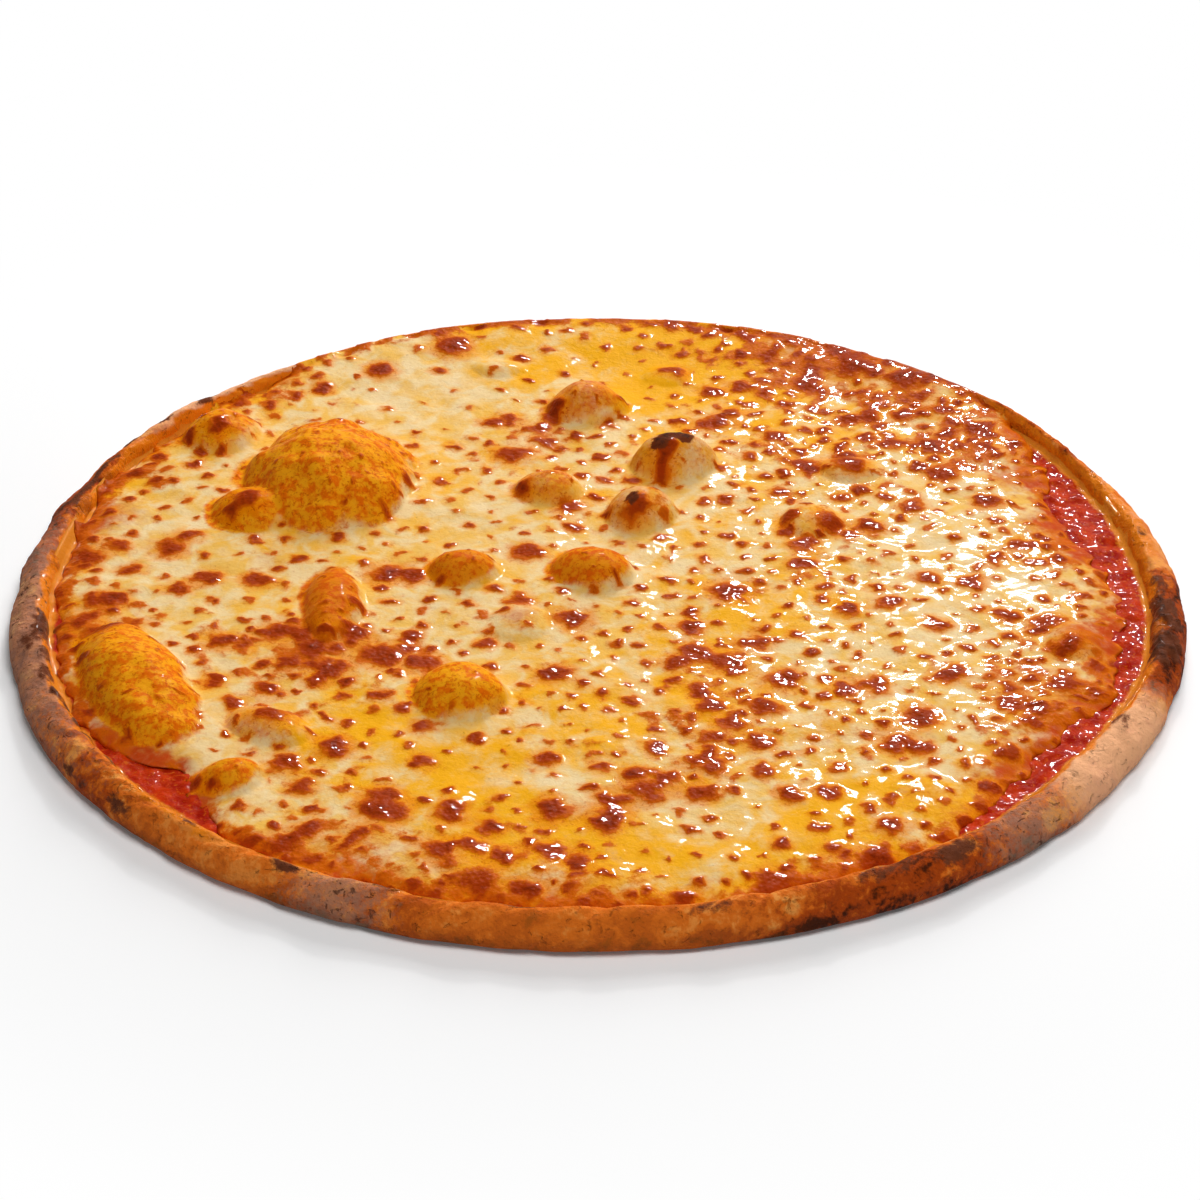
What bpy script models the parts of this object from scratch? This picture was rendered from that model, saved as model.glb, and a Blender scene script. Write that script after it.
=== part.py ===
"""A thin round pizza baked with tomato sauce and melted cheese, whole and uncut.

Metres, +Z up. The origin is the middle of the flat underside. +X is to the right and +Y to the
back of the pizza as it is served. Three solids lie on each other, a hair apart: the dough with
its rim, the tomato sauce, and the cheese that melted over it.
"""

import math

import bmesh
import bpy

# Driving dimensions, in metres.
RADIUS = 0.155
BASE_THICKNESS = 0.0034
SAUCE_THICKNESS = 0.0010
CHEESE_THICKNESS = 0.0022
CHEESE_EDGE_THICKNESS = 0.0011
LAYER_GAP = 0.0003
RIM_HEIGHT = 0.0088
RIM_WIDTH = 0.0112
BACK_RIM_WIDTH = 0.0050
HEEL_INSET = 0.0010
UNDERSIDE_INSET = 0.0045
SAUCE_TO_RIM = 0.0012
CHEESE_TO_SAUCE = 0.0020

# How finely the sheets are divided: rings of triangles out to the edge of the cheese.
CHEESE_RINGS = 12
BUBBLE_MARGIN = 0.003

# Where the rim swells or shrinks: middle and half width in degrees, then the change.
RIM_HEIGHT_SWELLS = [
    (268, 40, 0.0008),
    (215, 28, 0.0006),
    (322, 26, 0.0009),
    (352, 16, 0.0007),
    (172, 20, 0.0005),
    (60, 50, 0.0003),
    (112, 44, 0.0004),
]
RIM_WIDTH_SWELLS = [
    (320, 30, 0.0030),
    (262, 34, 0.0008),
    (190, 18, 0.0010),
    (150, 22, -0.0022),
]

# Where the cheese stops short and bares the sauce: middle, half width, depth.
BARE_SAUCE = [
    (22, 24, 0.0140),
    (352, 24, 0.0070),
    (325, 22, 0.0066),
    (220, 13, 0.0085),
]

# Air bubbles in the dough: x, y, half sizes along and across, height, turn in degrees.
BUBBLES = [
    (-0.0730, 0.0595, 0.0235, 0.0275, 0.0140, 0),
    (-0.0925, 0.0440, 0.0120, 0.0110, 0.0060, 20),
    (-0.1170, -0.0450, 0.0135, 0.0300, 0.0080, 22),
    (-0.0345, -0.0500, 0.0120, 0.0125, 0.0072, 0),
    (-0.0030, 0.1010, 0.0115, 0.0095, 0.0075, 0),
    (0.0215, 0.0690, 0.0120, 0.0100, 0.0092, 0),
    (0.0120, 0.0420, 0.0100, 0.0100, 0.0070, 0),
    (-0.0130, 0.0550, 0.0100, 0.0080, 0.0052, 0),
    (-0.0010, 0.0110, 0.0115, 0.0095, 0.0064, -30),
    (-0.0350, 0.0120, 0.0095, 0.0085, 0.0052, 0),
    (-0.0690, -0.0060, 0.0080, 0.0180, 0.0052, 0),
    (-0.0820, -0.0650, 0.0120, 0.0075, 0.0036, -30),
    (-0.0905, -0.0880, 0.0090, 0.0075, 0.0042, 0),
    (-0.1050, 0.0860, 0.0110, 0.0110, 0.0058, 0),
]


def swell(angle, middle, half_width):
    """1 at the middle angle, falling smoothly to 0 at half_width degrees either side."""
    away = abs((math.degrees(angle) - middle + 180) % 360 - 180) / half_width
    if away >= 1:
        return 0.0
    return math.cos(away * math.pi / 2) ** 2


def swells(angle, entries):
    return sum(swell(angle, middle, half) * change for middle, half, change in entries)


def outline(angle):
    """Outer radius of the crust: hand-stretched, so a hair out of round."""
    return RADIUS - 0.0003 * (1 - math.cos(3 * angle + 0.6)) - 0.00015 * (1 - math.cos(7 * angle))


def rim_height(angle):
    lumps = 0.00025 * math.sin(5 * angle + 1.0) + 0.00020 * math.sin(11 * angle)
    return RIM_HEIGHT + swells(angle, RIM_HEIGHT_SWELLS) + lumps


def rim_width(angle):
    back = swell(angle, 82, 88)
    width = RIM_WIDTH + (BACK_RIM_WIDTH - RIM_WIDTH) * min(1.0, 1.8 * back)
    return width + swells(angle, RIM_WIDTH_SWELLS) + 0.0003 * math.sin(9 * angle)


def rim_foot(angle):
    """Radius at which the bed turns up into the rim."""
    return outline(angle) - rim_width(angle)


def sauce_edge(angle):
    return rim_foot(angle) - SAUCE_TO_RIM


def cheese_edge(angle):
    wander = 0.0008 * math.sin(13 * angle) + 0.0006 * math.sin(23 * angle + 1.3)
    return sauce_edge(angle) - CHEESE_TO_SAUCE - swells(angle, BARE_SAUCE) + wander


def bubble_rise(x, y):
    """Height that the air bubbles add to the bed: rounded domes, joined smoothly."""
    rise = 0.0
    for middle_x, middle_y, half_x, half_y, height, turn in BUBBLES:
        turned = math.radians(turn)
        dx = x - middle_x
        dy = y - middle_y
        along = (dx * math.cos(turned) + dy * math.sin(turned)) / half_x
        across = (dy * math.cos(turned) - dx * math.sin(turned)) / half_y
        reach = along * along + across * across
        if reach < 1:
            rise = max(rise, height * (1 - reach) ** 0.75)
    return rise


def bed_height(x, y):
    """Top of the dough inside the rim."""
    lift = 0.0003 * math.sin(70 * x + 1) * math.sin(62 * y)
    return BASE_THICKNESS + lift + bubble_rise(x, y)


def near_bubble(x, y):
    """Whether a point lies on an air bubble or in the fold at its foot."""
    for middle_x, middle_y, half_x, half_y, _, _ in BUBBLES:
        if math.hypot(x - middle_x, y - middle_y) < max(half_x, half_y) + BUBBLE_MARGIN:
            return True
    return False


def extrude_ring(mesh, open_edges, place):
    """Draws the open edge of the mesh out to a new ring of points given by place(angle)."""
    grown = bmesh.ops.extrude_edge_only(mesh, edges=open_edges)["geom"]
    for item in grown:
        if isinstance(item, bmesh.types.BMVert):
            angle = math.atan2(item.co.y, item.co.x)
            radius, height = place(angle)
            item.co = (radius * math.cos(angle), radius * math.sin(angle), height)
    return [item for item in grown if isinstance(item, bmesh.types.BMEdge) and item.is_boundary]


def round_off(vert):
    """Moves a point of the six-sided disc to its place on the round one."""
    side = math.radians(60)
    angle = math.atan2(vert.co.y, vert.co.x)
    middle = round(angle / side) * side
    share = math.hypot(vert.co.x, vert.co.y) * math.cos(angle - middle) / math.cos(side / 2)
    angle = middle + math.tan(angle - middle) / math.tan(side / 2) * side / 2
    radius = share * cheese_edge(angle)
    vert.co = (radius * math.cos(angle), radius * math.sin(angle), 0)


def sheet(edges_beyond):
    """The round sheet that all layers share: even triangles, finer on the bubbles.

    It ends at the edge of the cheese, and goes on to each of edges_beyond in turn.
    """
    mesh = bmesh.new()
    bmesh.ops.create_circle(mesh, cap_ends=True, cap_tris=True, segments=6, radius=1)
    bmesh.ops.subdivide_edges(mesh, edges=mesh.edges, cuts=CHEESE_RINGS - 1, use_grid_fill=True)
    for vert in mesh.verts:
        if vert.co.length > 0:
            round_off(vert)
    bubbly = []
    for edge in mesh.edges:
        middle = (edge.verts[0].co + edge.verts[1].co) / 2
        if near_bubble(middle.x, middle.y) and not edge.is_boundary:
            bubbly.append(edge)
    bmesh.ops.subdivide_edges(mesh, edges=bubbly, cuts=1, use_grid_fill=True)
    open_edges = [edge for edge in mesh.edges if edge.is_boundary]
    for edge_at in edges_beyond:
        open_edges = extrude_ring(mesh, open_edges, lambda angle: (edge_at(angle), 0))
    bmesh.ops.triangulate(mesh, faces=mesh.faces)
    for vert in mesh.verts:
        vert.co.z = bed_height(vert.co.x, vert.co.y)
    bmesh.ops.recalc_face_normals(mesh, faces=mesh.faces)
    if sum(face.normal.z for face in mesh.faces) < 0:
        bmesh.ops.reverse_faces(mesh, faces=mesh.faces)
    return mesh


def layer(edges_beyond, lift, thickness_at):
    """A solid layer that follows the bed: a sheet raised by lift and given a thickness."""
    mesh = sheet(edges_beyond)
    bottom = list(mesh.verts)
    grown = bmesh.ops.extrude_face_region(mesh, geom=list(mesh.faces), use_keep_orig=True)
    top = [item for item in grown["geom"] if isinstance(item, bmesh.types.BMVert)]
    for vert in bottom:
        vert.co.z += lift
    for vert in top:
        vert.co.z += lift + thickness_at(vert.co.x, vert.co.y)
    bmesh.ops.recalc_face_normals(mesh, faces=mesh.faces)
    return mesh


def cheese_thickness(x, y):
    """Full over the middle, thinning over the last part towards the melted edge."""
    share = math.hypot(x, y) / cheese_edge(math.atan2(y, x))
    thinning = max(0.0, share - 0.88) / 0.12
    return CHEESE_THICKNESS + (CHEESE_EDGE_THICKNESS - CHEESE_THICKNESS) * thinning


def rim_section(angle):
    """The rim's section from its foot, over the top, down the outside to the flat underside."""
    radius = outline(angle)
    width = rim_width(angle)
    height = rim_height(angle)
    return [
        (radius - 0.84 * width, 0.66 * height),
        (radius - 0.66 * width, 0.95 * height),
        (radius - 0.48 * width, height),
        (radius - 0.26 * width, 0.88 * height),
        (radius - 0.08 * width, 0.64 * height),
        (radius, 0.36 * height),
        (radius - HEEL_INSET, 0.12 * height),
        (radius - UNDERSIDE_INSET, 0.0),
    ]


def dough_mesh():
    """The bed of the dough, with the rim drawn out of its edge and a flat underside."""
    mesh = sheet([sauce_edge, rim_foot])
    open_edges = [edge for edge in mesh.edges if edge.is_boundary]
    for step in range(len(rim_section(0.0))):
        open_edges = extrude_ring(mesh, open_edges, lambda angle: rim_section(angle)[step])
    bmesh.ops.contextual_create(mesh, geom=open_edges)
    bmesh.ops.recalc_face_normals(mesh, faces=mesh.faces)
    return mesh


def material(name, colour, roughness):
    made = bpy.data.materials.new(name)
    made.use_nodes = True
    shader = made.node_tree.nodes["Principled BSDF"]
    shader.inputs["Base Color"].default_value = (*colour, 1.0)
    shader.inputs["Roughness"].default_value = roughness
    shader.inputs["Metallic"].default_value = 0.0
    return made


def add_part(name, mesh, colour, roughness):
    """Turns a finished bmesh into a named, smooth-shaded object with its own material."""
    bmesh.ops.triangulate(mesh, faces=mesh.faces)
    data = bpy.data.meshes.new(name)
    mesh.to_mesh(data)
    mesh.free()
    data.shade_smooth()
    data.set_sharp_from_angle(angle=math.radians(60))
    data.materials.append(material(name, colour, roughness))
    part = bpy.data.objects.new(name, data)
    bpy.context.collection.objects.link(part)
    return part


def build():
    for old in list(bpy.data.objects):
        bpy.data.objects.remove(old)
    sauce_lift = LAYER_GAP
    cheese_lift = sauce_lift + SAUCE_THICKNESS + LAYER_GAP
    add_part("dough_crust", dough_mesh(), (0.52, 0.27, 0.12), 0.85)
    sauce = layer([sauce_edge], sauce_lift, lambda x, y: SAUCE_THICKNESS)
    add_part("tomato_sauce", sauce, (0.45, 0.055, 0.02), 0.35)
    cheese = layer([], cheese_lift, cheese_thickness)
    add_part("melted_cheese", cheese, (0.82, 0.50, 0.16), 0.38)


build()
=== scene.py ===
# %% [markdown]
# # A thin pizza with tomato and melted cheese
#
# The plain model of the pizza is three solids: dough, sauce and cheese. This lesson gives each
# one its baked look. Nearly all of that look is uneven on purpose: air bubbles lift the cheese,
# milk solids scorch into brown spots, fat runs out as yellow oil and the rim chars where it
# touched hot stone. So most steps here make a smooth shape first and then disturb it.

# %% Load the frame and the libraries
import math

import bmesh
import bpy
import numpy as np
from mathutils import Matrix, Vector


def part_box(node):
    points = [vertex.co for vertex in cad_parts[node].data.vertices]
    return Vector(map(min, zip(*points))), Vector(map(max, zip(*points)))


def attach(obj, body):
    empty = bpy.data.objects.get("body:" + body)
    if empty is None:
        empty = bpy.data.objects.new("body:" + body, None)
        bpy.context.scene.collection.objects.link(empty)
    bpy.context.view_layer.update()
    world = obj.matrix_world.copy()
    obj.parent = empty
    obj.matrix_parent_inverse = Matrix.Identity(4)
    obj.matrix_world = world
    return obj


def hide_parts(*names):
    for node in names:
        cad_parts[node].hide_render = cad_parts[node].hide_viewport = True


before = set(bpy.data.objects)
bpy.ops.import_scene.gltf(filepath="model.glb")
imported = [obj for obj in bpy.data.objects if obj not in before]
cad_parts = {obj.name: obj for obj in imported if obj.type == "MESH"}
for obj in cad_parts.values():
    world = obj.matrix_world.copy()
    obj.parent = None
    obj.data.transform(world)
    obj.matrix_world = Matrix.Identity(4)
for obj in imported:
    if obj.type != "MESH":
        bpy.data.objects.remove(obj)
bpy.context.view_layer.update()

MM = 0.001
print("nodes:", sorted(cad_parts))

# %% [markdown]
# The sizes come from the plain model. Everything below is worked out in millimetres, because a
# cook thinks in millimetres, and turned into metres at the end.

# %% Sizes, in millimetres
dough_low, dough_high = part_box("dough_crust")
sauce_low, sauce_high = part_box("tomato_sauce")
cheese_low, cheese_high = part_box("melted_cheese")
RADIUS = (dough_high.x - dough_low.x) / 2 / MM + 0.4
BED_TOP = 3.4
SAUCE_TOP = BED_TOP + 1.3
CHEESE_TOP = SAUCE_TOP + 2.5
CHEESE_UNDERSIDE = SAUCE_TOP + 0.2
HIGHEST = cheese_high.z / MM
RIM_HEIGHT = 8.8
RIM_WIDTH = 11.2
BACK_RIM_WIDTH = 5.0
print(f"radius {RADIUS:.1f} mm, highest bubble {HIGHEST:.1f} mm")
print(f"plain sauce from {sauce_low.z / MM:.1f} to {sauce_high.z / MM:.1f} mm")
print(f"plain cheese from {cheese_low.z / MM:.1f} mm up")

# %% [markdown]
# Two small tools shape everything. `swell` is a smooth bump round the pizza, for what happens at
# one clock position of the rim. `hills` is smooth random ground, for what happens everywhere. A
# fixed seed makes the same hills each time.

# %% Bumps and hills
def ease(value, low, high):
    """0 below low, 1 above high, and smooth between; low may be the larger."""
    share = np.clip((value - low) / (high - low), 0, 1)
    return share * share * (3 - 2 * share)


def swell(angle, middle, half_width):
    away = np.abs((np.degrees(angle) - middle + 180) % 360 - 180) / half_width
    return np.where(away < 1, np.cos(np.minimum(away, 1) * math.pi / 2) ** 2, 0.0)


def swells(angle, entries):
    return sum(swell(angle, middle, half) * amount for middle, half, amount in entries)


def hills(x, y, size, seed, octaves=1):
    """Random ground between about -1 and 1 whose humps are about size across."""
    total = np.zeros_like(x)
    strength = 1.0
    for octave in range(octaves):
        lattice = np.random.default_rng(seed * 17 + octave).uniform(-1, 1, (256, 256))
        turn = 0.6 + 1.1 * octave
        across = (x * math.cos(turn) + y * math.sin(turn)) / size * 2**octave + 4096
        along = (y * math.cos(turn) - x * math.sin(turn)) / size * 2**octave + 4096
        column = np.floor(across).astype(int)
        row = np.floor(along).astype(int)
        u = ease(across - column, 0, 1)
        v = ease(along - row, 0, 1)
        near = lattice[row % 256, column % 256] * (1 - u) + lattice[row % 256, (column + 1) % 256] * u
        far = lattice[(row + 1) % 256, column % 256] * (1 - u)
        far = far + lattice[(row + 1) % 256, (column + 1) % 256] * u
        total += strength * (near * (1 - v) + far * v)
        strength *= 0.5
    return total


line = np.linspace(0, 100, 500)
ground = hills(line, line, 8, 1)
print(f"hills go from {ground.min():.2f} to {ground.max():.2f}")

# %% [markdown]
# The outline, the rim and the edges of the layers are functions of the angle round the pizza,
# as in the plain model: nearly round, with a rim that is wide in front and low at the back,
# where the cheese runs almost to the edge.
#
# In every list of swells an entry is an angle in degrees from the right-hand side, how far it
# reaches to each side, and an amount.

# %% The edges round the pizza
BACK = 82
RIM_HEIGHT_SWELLS = [(268, 40, 0.8), (215, 28, 0.6), (322, 26, 0.9), (352, 16, 0.7),
                     (172, 20, 0.5), (60, 50, 0.3), (112, 44, 0.4)]
RIM_WIDTH_SWELLS = [(320, 30, 3.0), (262, 34, 0.8), (190, 18, 1.0), (150, 22, -2.2)]
EDGE_GAP = 1.2
BARE_SAUCE = [(20, 24, 13.0), (352, 24, 7.0), (325, 22, 6.0), (220, 13, 10.0)]

# The rim's section from its foot over the top to the underside. Each point has its way in from
# the outline, as a share of the rim's width and extra millimetres, and its share of the height.
SECTION = [
    (1.00, 0.0, 0.00), (0.84, 0.0, 0.66), (0.66, 0.0, 0.95), (0.48, 0.0, 1.00), (0.26, 0.0, 0.88),
    (0.08, 0.0, 0.64), (0.00, 0.0, 0.36), (0.00, 1.0, 0.12), (0.00, 4.5, 0.00),
]


def outline(angle):
    """Radius of the dough's outer edge, a little uneven."""
    return RADIUS - 0.3 * (1 - np.cos(3 * angle + 0.6)) - 0.15 * (1 - np.cos(7 * angle)) - 0.15


def rim_height(angle):
    lumps = 0.25 * np.sin(5 * angle + 1.0) + 0.20 * np.sin(11 * angle)
    return RIM_HEIGHT + swells(angle, RIM_HEIGHT_SWELLS) + lumps


def at_back(angle, half_width, steepness=1.5):
    """1 at the back, where the rim is thin, and 0 beyond half_width degrees from there."""
    return np.minimum(1, steepness * swell(angle, BACK, half_width))


def rim_width(angle):
    width = RIM_WIDTH + (BACK_RIM_WIDTH - RIM_WIDTH) * at_back(angle, 88, 1.8)
    return width + swells(angle, RIM_WIDTH_SWELLS) + 0.3 * np.sin(9 * angle)


def rim_foot(angle):
    return outline(angle) - rim_width(angle)


def rim_surface(radius, angle):
    """Height of the dough's top at a place: the flat bed, or the rim where it stands higher."""
    share = (outline(angle) - radius) / rim_width(angle)
    section = [(share_in, high) for share_in, extra, high in SECTION[:6]]
    places, heights = zip(*reversed(section))
    return np.maximum(BED_TOP, rim_height(angle) * np.interp(share, places, heights))


def bared(angle):
    """1 where the sauce lies bare beside the cheese, 0 where the cheese reaches the rim."""
    return np.minimum(1, swells(angle, BARE_SAUCE) / 8)


def melted_edge(angle):
    """Where the cheese ends, taken smoothly."""
    over = 0.8 + 4.2 * at_back(angle, 66)
    edge = rim_foot(angle) + over - swells(angle, BARE_SAUCE)
    return np.minimum(edge, outline(angle) - EDGE_GAP)


def cheese_edge(angle):
    """The melted edge as it is, ragged where it ran up against the rim or over the sauce."""
    around = (np.cos(angle) * 140, np.sin(angle) * 140)
    ragged = (1.8 + 1.2 * bared(angle)) * hills(*around, 7, 3, 2) + 0.4 * hills(*around, 3, 4)
    return np.minimum(melted_edge(angle) + ragged, outline(angle) - EDGE_GAP)


for name, degrees in (("right", 0), ("back", 90), ("left", 180), ("front", 270)):
    turn = math.radians(degrees)
    print(f"{name}: rim {rim_width(turn):.1f} mm wide and {rim_height(turn):.1f} mm high")

# %% [markdown]
# Camera first, so that each piece can be looked at while it is made. It stands 1.2 m away and
# 31 degrees above the table, with a long lens, as for a catalogue picture of food.

# %% Camera
ELEVATION = math.radians(31.2)
DISTANCE = 1.2
AIM = Vector((0.0009, 0.0023, 0.0038))
toward_camera = Vector((0, -math.cos(ELEVATION), math.sin(ELEVATION)))
camera_data = bpy.data.cameras.new("camera")
camera_data.sensor_width = 36
camera_data.lens = 136.2
camera_data.clip_start = 0.05
camera = bpy.data.objects.new("camera", camera_data)
camera.rotation_mode = "QUATERNION"
camera.rotation_quaternion = (-toward_camera).to_track_quat("-Z", "Y")
camera.location = AIM + toward_camera * DISTANCE
bpy.context.collection.objects.link(camera)
bpy.context.scene.camera = camera
bpy.context.scene.view_settings.view_transform = "Standard"
print("camera at", [round(value, 3) for value in camera.location])

# %% [markdown]
# Shader maths is easier to read as arithmetic. `Wire` stands for one socket, and adding or
# multiplying two of them makes the Math node. `Board` holds one material's nodes, and its one
# `node` method makes any other kind.

# %% Shader tools
class Wire:
    """The output of a node, ready to be used in sums."""

    def __init__(self, board, socket):
        self.board = board
        self.socket = socket

    def maths(self, operation, first, second):
        return self.board.node("ShaderNodeMath", {"operation": operation}, {0: first, 1: second})

    def __add__(self, other):
        return self.maths("ADD", self, other)

    def __radd__(self, other):
        return self.maths("ADD", other, self)

    def __sub__(self, other):
        return self.maths("SUBTRACT", self, other)

    def __rsub__(self, other):
        return self.maths("SUBTRACT", other, self)

    def __mul__(self, other):
        return self.maths("MULTIPLY", self, other)

    def __rmul__(self, other):
        return self.maths("MULTIPLY", other, self)


class Board:
    """The nodes of one material."""

    def __init__(self, name):
        self.material = bpy.data.materials.new(name)
        self.material.use_nodes = True
        self.tree = self.material.node_tree
        self.tree.nodes.clear()
        self.place = self.node("ShaderNodeTexCoord", out="Object")

    def node(self, kind, settings=None, sockets=None, out=0):
        made = self.tree.nodes.new(kind)
        for key, value in (settings or {}).items():
            setattr(made, key, value)
        for key, value in (sockets or {}).items():
            if isinstance(value, Wire):
                self.tree.links.new(value.socket, made.inputs[key])
            else:
                made.inputs[key].default_value = value
        return None if out is None else Wire(self, made.outputs[out])

    def field(self, name):
        """A value that was worked out for each point of the mesh."""
        return self.node("ShaderNodeAttribute", {"attribute_name": name}, out="Fac")

    def grain(self, size, detail=2.0, rough=0.5, warp=0.0):
        """Noise between 0 and 1 with features about size millimetres across."""
        return self.node("ShaderNodeTexNoise", {}, {
            "Vector": self.place, "Scale": 1 / (size * MM), "Detail": detail,
            "Roughness": rough, "Distortion": warp})

    def blend(self, first, second, amount):
        return self.node("ShaderNodeMix", {"data_type": "RGBA", "clamp_factor": True},
                         {0: amount, 6: first, 7: second}, out=2)

    def ramp(self, value, low, high):
        """0 below low, 1 above high, smooth between."""
        return self.node("ShaderNodeMapRange", {"interpolation_type": "SMOOTHSTEP", "clamp": True},
                         {"Value": value, "From Min": low, "From Max": high})

    def bump(self, height, depth, strength=1.0, under=None):
        sockets = {"Height": height, "Distance": depth * MM, "Strength": strength}
        if under:
            sockets["Normal"] = under
        return self.node("ShaderNodeBump", {}, sockets)

    def finish(self, **sockets):
        named = {key.replace("_", " "): value for key, value in sockets.items()}
        return self.show(self.node("ShaderNodeBsdfPrincipled", {}, named))

    def show(self, shader):
        """Wires a shader to the output and hands over the material."""
        self.node("ShaderNodeOutputMaterial", {}, {"Surface": shader}, out=None)
        return self.material


def paint(red, green, blue):
    """A colour as it looks, 0 to 255, turned into the light values that shaders use."""
    shown = [value / 255 for value in (red, green, blue)]
    light = [v / 12.92 if v <= 0.04045 else ((v + 0.055) / 1.055) ** 2.4 for v in shown]
    return (*light, 1.0)


print("a mid grey is written as", [round(value, 3) for value in paint(128, 128, 128)])

# %% [markdown]
# Baked dough holds air. Where a bubble blew up under the cheese it lifted a dome, and the
# cheese on it ran thin and dried to an orange skin. Each bubble has its middle, half sizes,
# height, turn in degrees, then how orange and how red its skin is.

# %% Air bubbles
BUBBLES = [
    (-73.0, 59.5, 23.5, 27.5, 13.3, 0, 1.0, 0.10),
    (-92.5, 44.0, 12.0, 11.0, 5.6, 20, 0.95, 0.15),
    (-117.0, -45.0, 13.5, 30.0, 7.8, 22, 1.0, 0.10),
    (-34.5, -50.0, 12.0, 12.5, 7.0, 0, 0.9, 0.05),
    (-3.0, 101.0, 11.5, 9.5, 7.3, 0, 0.6, 0.45),
    (21.5, 69.0, 12.0, 10.0, 9.0, 0, 0.45, 0.30),
    (12.0, 42.0, 10.0, 10.0, 6.8, 0, 0.45, 0.35),
    (-13.0, 55.0, 10.0, 8.0, 5.0, 0, 0.6, 0.25),
    (-1.0, 11.0, 11.5, 9.5, 6.2, -30, 0.9, 0.40),
    (-35.0, 12.0, 9.5, 8.5, 5.0, 0, 0.85, 0.45),
    (-69.0, -6.0, 8.0, 18.0, 5.0, 0, 0.8, 0.60),
    (-82.0, -65.0, 12.0, 7.5, 3.4, -30, 0.5, 0.25),
    (-90.5, -88.0, 9.0, 7.5, 4.0, 0, 0.75, 0.20),
    (-105.0, 86.0, 11.0, 11.0, 5.6, 0, 0.7, 0.10),
    (58.0, 38.0, 8.0, 9.0, 2.6, 0, 0.2, 0.0),
    (70.0, 66.0, 9.0, 7.0, 2.4, 0, 0.3, 0.1),
    (20.0, 120.0, 7.0, 6.0, 1.2, 0, 0.0, 0.1),
    (124.0, -24.0, 7.0, 9.0, 1.8, 0, 0.2, 0.5),
    (-28.0, 124.0, 8.0, 5.0, 1.6, 0, 0.0, 0.0),
    (-20.0, -15.0, 8.0, 9.0, 1.8, 0, 0.0, 0.2),
]
TALL_BUBBLE = 7.4


def bubble_fields(x, y):
    """Rise of the bubbles, and how orange and red the skin on them is."""
    rise = np.zeros_like(x)
    orange = np.zeros_like(x)
    red = np.zeros_like(x)
    wobble = hills(x, y, 7, 11, 2)
    for middle_x, middle_y, half_x, half_y, height, turn, skin, redness in BUBBLES:
        turned = math.radians(turn)
        dx = x - middle_x
        dy = y - middle_y
        along = (dx * math.cos(turned) + dy * math.sin(turned)) / half_x
        across = (dy * math.cos(turned) - dx * math.sin(turned)) / half_y
        reach = along**2 + across**2 + 0.10 * wobble
        dome = np.clip(1 - reach, 0, 1) ** 0.72
        foot = np.exp(-np.clip(reach, 0, 9) * 1.6) * 0.10
        rise = np.maximum(rise, height * (0.93 * dome + foot))
        shift, hem = (0.06, 1.35) if height > TALL_BUBBLE else (0.18, 1.3)
        cover = ease((along + shift) ** 2 + across**2 + 0.22 * wobble, hem, hem - 0.6)
        orange = np.maximum(orange, skin * cover)
        red = np.maximum(red, redness * cover)
    return rise, orange, red


print(len(BUBBLES), "air bubbles, the tallest", max(bubble[4] for bubble in BUBBLES), "mm")
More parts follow.
